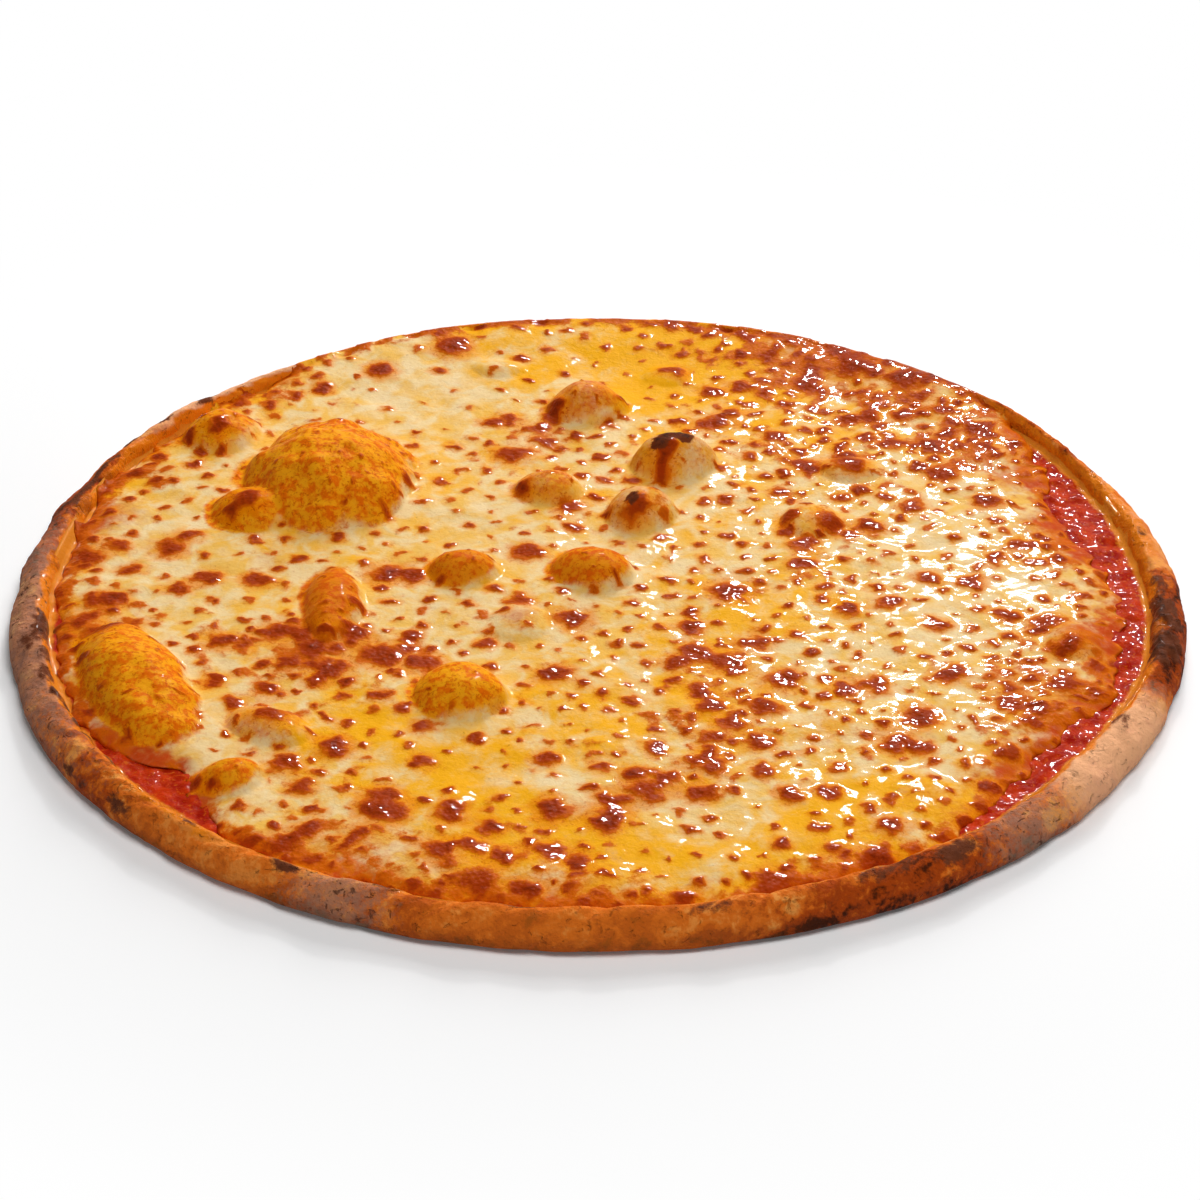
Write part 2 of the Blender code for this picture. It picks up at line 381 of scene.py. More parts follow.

# %% [markdown]
# The cheese scorches in round blisters. The biggest are listed, as x, y and radius in
# millimetres, because the eye knows a pizza by them. Hundreds of small ones are strewn with a
# seeded generator: close together where the oven was hottest, sparse where the cheese stayed
# pale.

# %% Scorched blisters
DARK_SPOTS = [
    (-19, 21, 3.8), (-55, 11, 4.0), (-49, 9, 3.4), (-8, 46, 3.4), (10, 36, 3.3), (34, 1, 4.4),
    (-20, -5, 3.3), (-6, -13, 3.8), (24, -17, 3.0), (40, -25, 3.4), (26, -31, 4.0), (20, -34, 3.0),
    (32, -33, 3.5), (36, -37, 3.2), (47, -43, 4.0), (26, -48, 3.0), (-10, -40, 3.5), (-44, -35, 4.2),
    (28, -56, 3.2), (-41, 135, 4.4), (21, 122, 3.4), (-25, 95, 3.2), (-30, 93, 2.5), (-17, 88, 3.0),
    (-15, 82, 2.5), (-23, 74, 4.3), (33, 92, 3.8), (38, 97, 3.2), (43, 142, 2.6), (33, 111, 3.0),
    (-136, 20, 3.6), (-129, 25, 3.4), (-115, 25, 4.2), (-109, 30, 2.8), (-103, 8, 3.4),
    (-109, 2, 2.8), (-90, 7, 3.4), (-124, 13, 2.8), (-83, -20, 3.8), (-76, -22, 3.0),
    (-74, -29, 4.0), (-63, -22, 3.8), (-57, -31, 4.7), (-68, -38, 4.0), (-97, -43, 2.6),
    (-97, -24, 3.2), (-91, -25, 3.0), (-85, -47, 3.0), (-92, -53, 2.4), (-127, -3, 3.4),
    (-133, -4, 3.0), (-127, -21, 4.8), (-134, -14, 4.0), (-78, -82, 3.6), (-72, -92, 3.0),
    (-53, -97, 4.0), (-53, -104, 3.8), (-82, -64, 4.0), (-66, -74, 3.8), (-101, -88, 3.0),
    (-70, -111, 3.0), (-75, -116, 3.5), (-58, -113, 3.0), (-75, -123, 2.5), (-43, -81, 2.8),
    (-43, -64, 3.0), (-13, -80, 3.0), (1, -84, 2.6), (10, -86, 3.0), (12, -94, 4.7), (4, -98, 3.2),
    (18, -88, 3.4), (3, -104, 3.6), (3, -109, 3.0), (-50, -103, 4.0), (-35, -103, 3.6),
    (-10, -103, 4.2), (-26, -110, 2.9), (-38, -119, 4.0), (-30, -118, 3.0), (-10, -120, 3.4),
    (-22, -122, 3.0), (-4, -124, 3.2), (-28, -131, 4.8), (-17, -136, 3.4), (26, -95, 3.4),
    (48, -96, 3.0), (30, -84, 3.0), (42, -85, 3.0), (25, -81, 3.0), (28, -70, 3.0), (28, -77, 2.6),
    (34, -64, 3.0), (40, -72, 3.4), (14, -74, 3.0), (43, -56, 3.4), (44, -133, 4.6), (52, -134, 3.6),
    (35, -141, 3.4), (21, -140, 3.2), (82, -61, 4.0), (75, -72, 3.4), (81, -74, 3.0), (58, -95, 2.8),
    (71, -109, 3.0), (105, -54, 3.8), (102, -77, 3.0), (67, -123, 4.4), (63, 35, 3.8), (55, 25, 3.4),
    (55, 15, 3.0), (74, 34, 3.0), (86, 46, 3.4), (107, 48, 3.3), (114, 25, 3.4), (88, 8, 3.0),
    (99, 6, 3.0), (106, 18, 3.0), (76, -5, 3.0), (66, -8, 2.8), (88, -15, 3.0), (107, -10, 3.0),
    (91, -41, 3.4), (71, -46, 3.3), (64, -47, 3.0), (105, -46, 3.0), (118, -14, 3.6),
    (123, -26, 3.8), (119, -44, 3.8), (82, 80, 3.0), (94, 80, 3.8), (96, 64, 3.8), (69, 66, 4.2),
    (68, 72, 3.0), (58, 68, 3.8), (77, 96, 3.0), (86, 97, 2.6), (98, 98, 3.0), (60, 116, 3.8),
    (74, 122, 4.6), (88, 115, 4.6), (71, 131, 4.0), (97, 117, 3.0), (108, 86, 3.4), (50, 85, 3.0),
    (-12, 98, 2.6), (-12, 94, 2.5), (19, 66, 2.8), (18, 61, 2.6), (-20, 52, 2.6), (52, 38, 2.6),
    (51, 32, 2.3), (-95, 42, 3.4), (-98, 38, 2.4), (-105, 84, 3.0), (-62, 122, 3.4),
]
CHARRED = [(21.0, 72.0, 4.4), (24.5, 70.5, 3.0), (17.5, 68.0, 2.8), (9.5, 40.0, 1.8)]

# Where the oven scorched more or less: x, y, reach, change in closeness of the blisters.
SCORCH = [
    (0, -140, 18, 1.0), (-35, -134, 18, 1.2), (-70, -120, 16, 1.3), (58, -130, 18, 1.2),
    (85, 118, 34, 1.8), (112, 90, 26, 1.5), (45, 140, 24, 1.3), (-72, -34, 24, 1.2),
    (-138, 22, 16, 0.9), (-130, 72, 22, 1.1), (-98, 116, 24, 1.1), (-125, -12, 16, 1.3),
    (122, -40, 24, 1.2), (112, -80, 22, 1.0), (30, -55, 32, 0.6), (-45, 112, 30, -0.9),
    (-110, 20, 26, -0.7), (10, 118, 22, -0.6), (-35, 40, 22, -0.3), (62, 70, 22, 0.7),
    (35, -112, 22, -0.5), (-30, -80, 26, -0.4), (-105, -75, 18, -0.4), (125, 20, 20, 0.7),
    (95, -10, 24, -0.2), (60, 20, 18, 0.4), (-20, 90, 20, 0.4), (5, 75, 20, 0.3),
]


def heat(x, y):
    """How strongly the oven scorched each place: about 1 on average."""
    total = 0.85
    for middle_x, middle_y, reach, amount in SCORCH:
        away = ((x - middle_x) ** 2 + (y - middle_y) ** 2) / reach**2
        total = total + amount * np.exp(-away)
    return np.clip(total, 0.12, 2.4)


TRIES = 11000
STREWN_REACH = 152


def strewn_spots(chance):
    """The listed blisters, then small ones at seeded places. The heat sets how far
    apart they are kept."""
    spots = [(x, y, size * 1.15, chance.uniform(0.68, 1.0)) for x, y, size in DARK_SPOTS]
    taken = np.full((len(DARK_SPOTS) + TRIES, 3), 1e6)
    taken[:len(DARK_SPOTS)] = DARK_SPOTS
    count = len(DARK_SPOTS)
    places = chance.uniform(-153, 153, (TRIES, 2))
    warmth = heat(*places.T)
    lifted = bubble_fields(*places.T)[0]
    for (x, y), warm, rise in zip(places, warmth, lifted):
        size = chance.uniform(1.0, 1.9) + 0.9 * chance.random() ** 2 * warm
        strength = chance.uniform(0.4, 1.0)
        if rise > 3:
            size *= 0.55
            strength *= 0.85
        gap = 5.0 / (0.45 + warm) + 0.5 * size
        apart = np.hypot(taken[:count, 0] - x, taken[:count, 1] - y)
        if math.hypot(x, y) > STREWN_REACH or np.any(apart < gap + 0.6 * taken[:count, 2]):
            continue
        taken[count] = x, y, size
        count += 1
        spots.append((x, y, size, strength))
    return spots


spots = strewn_spots(np.random.default_rng(7))
print(len(spots), "blisters,", len(DARK_SPOTS), "of them placed by hand")

# %% [markdown]
# A blister is never a clean circle. Each is a clump of a few small rounds, and the ground it is
# drawn on is warped a little. A spot is drawn over all the cheese's points at once, and to keep
# that quick the points are sorted by x, so that each round looks only at the points near it.

# %% Browning over the surface
def clumps(chance):
    """Each blister as a few rounds: x, y, radius, strength."""
    rounds = []
    for x, y, size, strength in spots:
        rounds.append((x, y, size * 0.9, strength))
        for _ in range(3 if size > 2 else 1):
            turn = chance.uniform(0, 2 * math.pi)
            out = size * chance.uniform(0.45, 0.85)
            rounds.append((x + out * math.cos(turn), y + out * math.sin(turn),
                           size * chance.uniform(0.35, 0.65), strength * chance.uniform(0.7, 1)))
    return rounds


def spread(x, y, rounds, *bands):
    """For each band, the soft union of the rounds: full inside the band's first number times
    the radius, none beyond its second times the radius."""
    left = [np.ones_like(x) for _ in bands]
    order = np.argsort(x)
    sorted_x = x[order]
    widest = max(outer for inner, outer in bands)
    for middle_x, middle_y, size, strength in rounds:
        reach = widest * size
        first, last = np.searchsorted(sorted_x, [middle_x - reach, middle_x + reach])
        near = order[first:last]
        near = near[np.abs(y[near] - middle_y) < reach]
        away = np.hypot(x[near] - middle_x, y[near] - middle_y) / size
        for kept, (inner, outer) in zip(left, bands):
            kept[near] *= 1 - strength * ease(away, outer, inner)
    return [1 - kept for kept in left]


rounds = clumps(np.random.default_rng(11))
print(len(rounds), "rounds in all")

# %% [markdown]
# Between the blisters the cheese is pale cream, with yellow pools where its fat ran out. Near
# the rim it is thin and the tomato shows through. These are broad stains: x, y, reach, amount.

# %% Stains in the cheese
YELLOW = [
    (5, -124, 26, 0.8), (-35, -88, 24, 0.6), (-62, -66, 22, 0.7), (75, -91, 10, 1.1),
    (55, -118, 22, 0.8), (50, -8, 26, 0.5), (20, 104, 16, 0.5), (62, 90, 16, 0.5),
    (5, 145, 40, 0.8), (-100, 30, 14, 0.3), (25, -50, 30, 0.4), (-20, -112, 22, 0.4),
    (-45, 50, 12, 0.3), (100, -110, 30, 0.3), (35, 130, 22, 0.6), (0, -60, 24, 0.3),
]
PALE = [
    (-55, 115, 30, 0.7), (-115, 15, 24, 0.7), (-35, 42, 20, 0.5), (-95, -72, 14, 0.6),
    (95, 20, 36, 0.6), (25, -108, 18, 0.5), (-10, -90, 16, 0.5), (85, -25, 30, 0.5),
    (-120, 40, 16, 0.5), (-45, -10, 20, 0.4), (105, 70, 24, 0.5), (10, -45, 16, 0.3),
    (-85, -95, 16, 0.4), (60, -75, 20, 0.4), (0, 90, 14, 0.4), (15, 20, 16, 0.4),
]
PINK = [
    (60, -68, 14, 0.45), (-88, 18, 9, 0.4), (128, 30, 16, 0.9), (132, -20, 14, 0.8),
    (118, -60, 14, 0.7), (100, -85, 12, 0.6), (-118, -70, 12, 0.9), (-135, -20, 10, 0.8),
    (-135, 40, 14, 0.6), (-10, -140, 30, 0.5), (-60, -122, 18, 0.5), (55, 128, 16, 0.6),
    (114, 62, 8, 0.7), (-20, -14, 8, 0.3), (80, -98, 10, 0.4), (-22, -70, 10, 0.3),
    (118, 85, 12, 0.6), (60, -128, 12, 0.5), (-122, 85, 10, 0.5), (-92, 118, 10, 0.5),
]


def stain(x, y, entries):
    """Adds up soft round stains."""
    total = np.zeros_like(x)
    for middle_x, middle_y, reach, amount in entries:
        total += amount * np.exp(-((x - middle_x) ** 2 + (y - middle_y) ** 2) / reach**2)
    return total


def cheese_fields(x, y):
    """Height of the cheese above its flat, and the looks that its material reads."""
    angle = np.arctan2(y, x)
    inside = melted_edge(angle) - np.hypot(x, y)
    warp_x = x + 1.1 * hills(x, y, 2.8, 21, 2)
    warp_y = y + 1.1 * hills(x, y, 2.8, 22, 2)
    toast, glow = spread(warp_x, warp_y, rounds, (0.1, 1.5), (0.6, 2.5))
    char, = spread(warp_x, warp_y, [(*spot, 1.0) for spot in CHARRED], (0.6, 1.3))
    rise, orange, red = bubble_fields(x, y)
    warm = heat(x, y)
    patches = ease(0.35 * warm + 0.5 * hills(x, y, 6, 34, 3), 0.45, 1.15)
    rim_near = ease(inside, 9.0, 1.0) * (1 - 0.75 * bared(angle))
    patches = np.maximum(patches, rim_near * ease(hills(x, y, 4, 43, 2), -0.9, 0.4))
    toast = 1 - (1 - toast) * (1 - (0.40 + 0.22 * rim_near) * patches)
    glow = 1 - (1 - glow) * (1 - 0.6 * patches)
    crinkle = hills(x, y, 1.5, 31, 2)
    lumps = 0.40 * hills(x, y, 12, 32, 2) + 0.14 * hills(x, y, 4.5, 33)
    calm = 1 - ease(rise, 1.5, 5)
    height = rise + lumps * (0.4 + 0.6 * calm)
    height += toast * (0.42 + 0.22 * crinkle) + 0.045 * crinkle
    # Painted light: where a bubble rises outside its orange skin, the oil and tomato fields get an
    # orange-pink tint that stands in for warm light bounced into the shade of its sides.
    flank_warm_shade = ease(rise, 0.4, 2.0) * (1 - orange)
    oil = 0.22 + stain(x, y, YELLOW) - 0.5 * stain(x, y, PALE) + 0.38 * hills(x, y, 10, 41, 3)
    oil += 0.5 * rim_near + 0.1 * flank_warm_shade
    tomato = stain(x, y, PINK) + 0.12 * hills(x, y, 12, 42, 2)
    tomato += 0.45 * rim_near * (1 - 0.8 * swell(angle, 95, 60))
    tomato += 1.0 * bared(angle) * ease(inside + 4 * hills(x, y, 4, 44, 3), 10, -1)
    tomato += 0.32 * flank_warm_shade + 0.35 * swell(angle, 75, 40) * ease(inside, 14, 3)
    milk = 0.8 * stain(x, y, PALE) + 0.5 * hills(x, y, 5, 45, 3) - 0.25 * rim_near
    return {
        "height": height, "toast": toast, "glow": glow, "char": char, "milk": np.clip(milk, 0, 1),
        "oil": np.clip(oil, 0, 1), "tomato": np.clip(tomato, 0, 1), "skin": orange, "red": red,
    }


print(len(YELLOW), "yellow,", len(PALE), "pale and", len(PINK), "pink stains")

# %% [markdown]
# The cheese is modelled as a disc of small even triangles: a hexagon of six triangles, cut
# finely and rounded off. Its points are then lifted by the fields above. Even triangles hold
# blisters equally well everywhere, which a fan of long thin ones doesn't.

# %% Mesh tools
def even_disc(rings):
    """A bmesh disc of radius 1 made of even triangles."""
    mesh = bmesh.new()
    bmesh.ops.create_circle(mesh, cap_ends=True, cap_tris=True, segments=6, radius=1)
    bmesh.ops.subdivide_edges(mesh, edges=mesh.edges, cuts=rings - 1, use_grid_fill=True)
    return mesh


def polar_places(mesh):
    """Share of the radius and angle of each point of the disc, with the hexagon rounded off."""
    flat = np.array([vert.co[:2] for vert in mesh.verts])
    side = math.pi / 3
    angle = np.arctan2(flat[:, 1], flat[:, 0])
    middle = np.round(angle / side) * side
    share = np.hypot(flat[:, 0], flat[:, 1]) * np.cos(angle - middle) / math.cos(side / 2)
    angle = middle + np.tan(angle - middle) / math.tan(side / 2) * side / 2
    return share, angle


def put(mesh, points):
    """Moves the points of a bmesh to the given places in millimetres."""
    for vert, point in zip(mesh.verts, points):
        vert.co = point


def write_fields(mesh, fields):
    """Stores each looks field on the points, where a material can read it."""
    for name, values in fields.items():
        layer = mesh.verts.layers.float.new(name)
        for vert, value in zip(mesh.verts, values):
            vert[layer] = value


def close_under(mesh, open_edges, level, shares):
    """Draws the open edge down to a flat underside and closes it."""
    for share in shares:
        grown = bmesh.ops.extrude_edge_only(mesh, edges=open_edges)["geom"]
        for item in grown:
            if isinstance(item, bmesh.types.BMVert):
                item.co.x *= share
                item.co.y *= share
                item.co.z = level
        open_edges = [item for item in grown
                      if isinstance(item, bmesh.types.BMEdge) and item.is_boundary]
    floor = bmesh.ops.contextual_create(mesh, geom=open_edges)["faces"]
    bmesh.ops.poke(mesh, faces=floor)


sample = even_disc(4)
print("an even disc of 4 rings has", len(sample.faces), "triangles")
sample.free()

# %% [markdown]
# A finished mesh goes to metres, gets its normals and its material, and the solid of the plain
# model that it stands for is hidden. Its object stays at the origin.

# %% Finish a piece
def add_piece(name, mesh, material, node):
    """Makes the finished bmesh an object in metres that stands for a node of the plain model."""
    bmesh.ops.scale(mesh, vec=(MM, MM, MM), verts=mesh.verts)
    bmesh.ops.recalc_face_normals(mesh, faces=mesh.faces)
    bmesh.ops.triangulate(mesh, faces=mesh.faces)
    data = bpy.data.meshes.new(name)
    mesh.to_mesh(data)
    mesh.free()
    data.shade_smooth()
    data.materials.append(material)
    piece = bpy.data.objects.new(name, data)
    bpy.context.collection.objects.link(piece)
    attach(piece, "root")
    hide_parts(node)
    print(f"{name}: {len(data.polygons)} triangles, top at {piece.bound_box[1][2] / MM:.2f} mm")


# %% [markdown]
# The cheese thins out towards its edge and ends in a soft lip that sinks into the sauce. At the
# back it climbs on to the rim instead.

# %% The cheese's shape
CHEESE_RINGS = 176
LIP_WIDTH = 3.2
BACK_CLIMB = 1.9


def cheese_mesh():
    mesh = even_disc(CHEESE_RINGS)
    share, angle = polar_places(mesh)
    edge = cheese_edge(angle)
    smooth_edge = rim_foot(angle) - 4
    radius = share * (smooth_edge + (edge - smooth_edge) * ease(share, 0.80, 1.0))
    x = radius * np.cos(angle)
    y = radius * np.sin(angle)
    fields = cheese_fields(x, y)
    bare = bared(angle)
    inside = edge - radius
    lip = np.sqrt(np.clip(inside / LIP_WIDTH, 0, 1))
    behind = at_back(angle, 74)
    height = fields.pop("height")
    dough = rim_surface(radius, angle)
    low = np.maximum(SAUCE_TOP, dough) + 0.1 - 0.5 * bare
    level = CHEESE_TOP + height + BACK_CLIMB * behind * ease(radius, 122, 150)
    level -= (0.9 + 0.8 * bare) * (1 - behind) * ease(melted_edge(angle) - radius, 12, 0)
    full = np.maximum(level, dough + 0.5 + 0.5 * np.maximum(height, 0))
    z = low + (full - low) * (0.12 + 0.88 * lip)
    z = np.clip(z, CHEESE_UNDERSIDE + 0.1, HIGHEST - 0.05)
    put(mesh, np.stack([x, y, z], 1).tolist())
    write_fields(mesh, fields)
    open_edges = [item for item in mesh.edges if item.is_boundary]
    close_under(mesh, open_edges, CHEESE_UNDERSIDE, (0.998, 0.6))
    return mesh


print("the cheese has", CHEESE_RINGS, "rings, so its top has", 6 * CHEESE_RINGS**2, "triangles")

# %% [markdown]
# The cheese's look is built up like paint, from the bottom coat to the top one: cream with yellow
# oil and milky wisps, tomato showing through, the orange skin of the bubbles, the browning in
# three steps, and char last. The oil and tomato also carry painted light, a warm tint on the
# shaded sides of the bubbles. Its gloss is a thin coat, which glints on the small crinkles of the
# mesh itself.

# %% The cheese's look
def cheese_material():
    board = Board("melted cheese")
    fine = board.grain(0.6, 3)
    small = board.grain(1.5, 3, warp=0.6)
    patch = board.grain(8, 4, 0.55, 0.6)
    toast = board.field("toast") + (small - 0.5) * 0.36 + (fine - 0.5) * 0.24
    skin = board.field("skin")
    # The oil field includes a little painted light: a warm tint on the shaded sides of the bubbles.
    oil = board.ramp(board.field("oil") + (small - 0.5) * 0.6 + (patch - 0.5) * 1.1, 0.15, 1.0)
    cream = board.blend(paint(247, 214, 154), paint(247, 193, 92), board.ramp(patch, 0.38, 0.62))
    colour = board.blend(cream, paint(254, 180, 20), oil)
    milk = board.ramp(board.field("milk") + (small - 0.5) * 0.6, 0.25, 1.0)
    colour = board.blend(colour, paint(252, 228, 184), milk * 0.4)
    # The tomato field includes painted light too: an orange-pink tint on the shaded sides of the
    # bubbles.
    tomato = board.ramp(board.field("tomato") + (small - 0.5) * 0.6, 0.15, 1.1)
    colour = board.blend(colour, paint(204, 72, 20), tomato)
    mottle = board.grain(2.6, 4, 0.65)
    gold = board.blend(paint(255, 172, 22), paint(236, 112, 6), board.ramp(mottle, 0.42, 0.62))
    gold = board.blend(gold, paint(204, 66, 14), board.field("red") * 0.9)
    colour = board.blend(colour, gold, board.ramp(skin + (small - 0.5) * 0.4, 0.15, 0.75))
    glow = board.ramp(board.field("glow") + (small - 0.5) * 0.55, 0.10, 1.05)
    colour = board.blend(colour, paint(240, 138, 0), glow * 0.85)
    pores = board.ramp(board.grain(1.1, 3, 0.6, 0.5), 0.54, 0.66) * (0.12 + 0.5 * glow + 0.6 * skin)
    colour = board.blend(colour, paint(204, 84, 0), pores)
    colour = board.blend(colour, paint(214, 98, 0), board.ramp(toast, 0.14, 0.44))
    colour = board.blend(colour, paint(172, 58, 0), board.ramp(toast, 0.42, 0.80))
    colour = board.blend(colour, paint(116, 30, 0), board.ramp(toast, 0.82, 1.15))
    burnt = board.field("char") + (small - 0.5) * 0.9 + (fine - 0.5) * 0.5
    char = board.ramp(burnt, 0.15, 0.55)
    colour = board.blend(colour, paint(112, 50, 22), char)
    colour = board.blend(colour, paint(56, 34, 26), board.ramp(burnt, 0.75, 1.25))
    rough = 0.44 - 0.10 * board.ramp(toast, 0.2, 0.7) + fine * 0.10 + char * 0.1
    blisters = board.node("ShaderNodeTexVoronoi", {"feature": "SMOOTH_F1"},
                          {"Vector": board.place, "Scale": 1 / (1.3 * MM), "Smoothness": 0.6})
    normal = board.bump(board.grain(2.6, 2, 0.5, 0.6), 0.20)
    normal = board.bump(blisters * board.ramp(toast, 0.1, 0.6), 0.30, 0.8, normal)
    normal = board.bump(board.grain(0.9, 2, 0.6), 0.10, 1.0, normal)
    coat = 0.26 + 0.35 * board.ramp(toast, 0.15, 0.6) - 0.2 * char - 0.2 * skin
    return board.finish(Base_Color=colour, Roughness=rough, Normal=normal, Coat_Weight=coat,
                        Coat_Roughness=0.07, Specular_IOR_Level=0.03)


add_piece("melted_cheese_top", cheese_mesh(), cheese_material(), "melted_cheese")

# %% [markdown]
# The sauce shows only as a red band near the rim, where the cheese didn't reach. Cooked tomato
# is pulp in a film of oil, so this piece is lumpy and wet. It starts as a flat grid that is
# rolled round the middle until its ends meet. The grid's rings lie close only in that band,
# because the rest is hidden.

# %% The sauce
SAUCE_SECTORS = 840
SAUCE_RINGS = np.concatenate([[0, 40, 80, 104], np.linspace(110, 150, 50)])


def rolled_sheet(rings, sectors):
    """A flat grid to be rolled round the middle, with the ring number and angle of each point."""
    mesh = bmesh.new()
    bmesh.ops.create_grid(mesh, x_segments=rings - 1, y_segments=sectors, size=1)
    flat = np.array([vert.co[:2] for vert in mesh.verts])
    ring = np.round((flat[:, 0] + 1) / 2 * (rings - 1)).astype(int)
    angle = np.round((flat[:, 1] + 1) / 2 * sectors) % sectors * 2 * math.pi / sectors
    return mesh, ring, angle


def roll_up(mesh, radius, angle, height):
    """Rolls the sheet into a ring, and joins the seam and the poles."""
    put(mesh, np.stack([radius * np.cos(angle), radius * np.sin(angle), height], 1).tolist())
    bmesh.ops.remove_doubles(mesh, verts=mesh.verts, dist=0.0001)


def sauce_mesh():
    mesh, ring, angle = rolled_sheet(len(SAUCE_RINGS), SAUCE_SECTORS)
    reach = rim_foot(angle) + 0.3 * rim_width(angle)
    radius = SAUCE_RINGS[ring] / SAUCE_RINGS[-1] * reach
    x = radius * np.cos(angle)
    y = radius * np.sin(angle)
    inside = reach - radius
    band = ease(radius, 100, 112)
    pulp = 0.5 * hills(x, y, 3.2, 51, 2) + 0.2 * hills(x, y, 1.2, 52)
    thin = ease(inside, 0.3, 3.0)
    z = np.maximum(SAUCE_TOP, rim_surface(radius, angle)) + band * thin * (0.3 + pulp)
    z = np.maximum(z, BED_TOP + 0.5)
    z[ring == 0] = SAUCE_TOP
    oil = ease(inside, 5.0, 2.0) + 0.3 * hills(x, y, 6, 53, 2)
    write_fields(mesh, {"oil": np.clip(oil, 0, 1)})
    roll_up(mesh, radius, angle, z)
    open_edges = [item for item in mesh.edges if item.is_boundary]
    close_under(mesh, open_edges, BED_TOP + 0.3, (0.999, 0.6))
    return mesh


def sauce_material():
    board = Board("tomato sauce")
    small = board.grain(1.3, 3, 0.6, 0.5)
    patch = board.grain(5, 3)
    colour = board.blend(paint(164, 20, 0), paint(206, 56, 6), board.ramp(patch, 0.35, 0.65))
    colour = board.blend(colour, paint(226, 110, 24), board.ramp(small, 0.54, 0.74) * 0.7)
    oil = board.ramp(board.field("oil") + (small - 0.5) * 0.6, 0.3, 0.9)
    colour = board.blend(colour, paint(232, 138, 36), oil)
    normal = board.bump(board.grain(1.1, 3, 0.6, 0.4), 0.25)
    return board.finish(Base_Color=colour, Roughness=0.36 + small * 0.12, Normal=normal,
                        Coat_Weight=0.4, Coat_Roughness=0.08, Specular_IOR_Level=0.05)


add_piece("tomato_sauce_band", sauce_mesh(), sauce_material(), "tomato_sauce")

# %% [markdown]
# The crust is dough that met the heat bare. Its rim is one section followed all round on a rolled
# grid, and the section changes with the angle: wide and high in front, thin and low behind.

# %% The crust's section and burns
CRUST_SECTORS = 1020
BED_RINGS = 3
RIM_STEPS = 44
UNDER_RINGS = 3
SECTION_LENGTH = 27.0


def smooth_through(values, count):
    """A smooth curve through evenly spaced values, sampled count times."""
    values = np.concatenate([[2 * values[0] - values[1]], values, [2 * values[-1] - values[-2]]])
    at = np.linspace(0, len(values) - 3, count)
    step = np.minimum(at.astype(int), len(values) - 4)
    t = at - step
    a, b, c, d = (values[step + offset] for offset in range(4))
    return 0.5 * (2 * b + (c - a) * t + (2 * a - 5 * b + 4 * c - d) * t**2
                  + (3 * b - 3 * c + d - a) * t**3)


# Burnt places on the rim: angle, place across it from 0 at the foot to 1 below, half length and
# half breadth in millimetres, how burnt, how much it is raised in millimetres.
BURNS = [
    (-4.5, 0.28, 7.0, 5.5, 1.0, 0.9), (-7, 0.46, 4.0, 3.0, 0.8, 0.5), (-11.5, 0.32, 8.5, 6.0, 1.0, 1.0),
    (1, 0.30, 4.5, 3.0, 0.55, 0.5), (11, 0.36, 3.5, 2.5, 0.5, 0.3), (-26, 0.36, 4.0, 2.5, 0.5, 0.3),
    (187, 0.20, 7.0, 4.5, 0.85, 0.5), (190, 0.40, 5.0, 3.0, 0.6, 0.2), (193, 0.22, 3.5, 3.0, 0.55, 0.8),
    (196, 0.26, 4.0, 3.0, 0.7, 0.3), (200, 0.22, 4.0, 3.0, 0.95, 0.5), (203, 0.14, 2.6, 2.0, 0.9, 0.4),
    (206, 0.14, 2.6, 2.0, 0.9, 0.4), (209, 0.14, 3.0, 2.0, 0.95, 0.4), (214, 0.14, 2.6, 1.8, 0.7, 0.3),
    (228, 0.28, 2.4, 1.8, 0.8, 0.0), (240, 0.34, 5.0, 2.6, 0.75, 0.0), (250, 0.20, 4.0, 2.4, 0.7, 0.1),
    (264, 0.26, 6.0, 1.4, 0.8, 0.0), (281, 0.42, 6.0, 3.0, 0.45, 0.0), (306, 0.44, 8.0, 4.0, 0.75, 0.0),
    (298, 0.34, 9.0, 4.0, 0.5, 0.0), (317, 0.12, 7.0, 1.0, 0.8, -0.5), (322, 0.10, 6.0, 0.9, 0.7, -0.5),
    (329, 0.12, 6.0, 1.0, 0.8, -0.4), (334, 0.24, 3.6, 2.0, 0.55, 0.0), (158, 0.36, 16.0, 2.2, 0.8, 0.2),
    (150, 0.46, 10.0, 2.0, 0.7, 0.0), (143, 0.42, 3.0, 2.4, 0.95, 0.3), (137, 0.34, 4.0, 3.0, 0.7, 0.2),
    (124, 0.50, 4.5, 2.4, 0.9, 0.2), (220, 0.62, 5.0, 2.0, 0.6, -0.4), (212, 0.66, 4.0, 1.6, 0.6, -0.4),
]


def crust_section():
    """Share in, extra in and share of the height along the rim's section."""
    share_in, extra, high = np.array(SECTION).T
    return (smooth_through(share_in, RIM_STEPS), smooth_through(extra, RIM_STEPS),
            smooth_through(high, RIM_STEPS))


print(len(BURNS), "burnt places on the rim")

# %% [markdown]
# Where the rim is floured, peach, golden, toasted or oily is again a matter of the angle, and of
# how far across the rim a point lies. Across the front the golden places are also painted light,
# which makes the side facing the camera lighter. Burnt places are raised a little, because they
# are blisters too.

# %% The crust's shape
GROUND_RADIUS = 152
GROUND_SHIFT = 30


def crust_ground(angle, across):
    """A flat map of the rim, to lay hills on without a seam."""
    x = np.cos(angle) * GROUND_RADIUS + GROUND_SHIFT * across
    return x, np.sin(angle) * GROUND_RADIUS


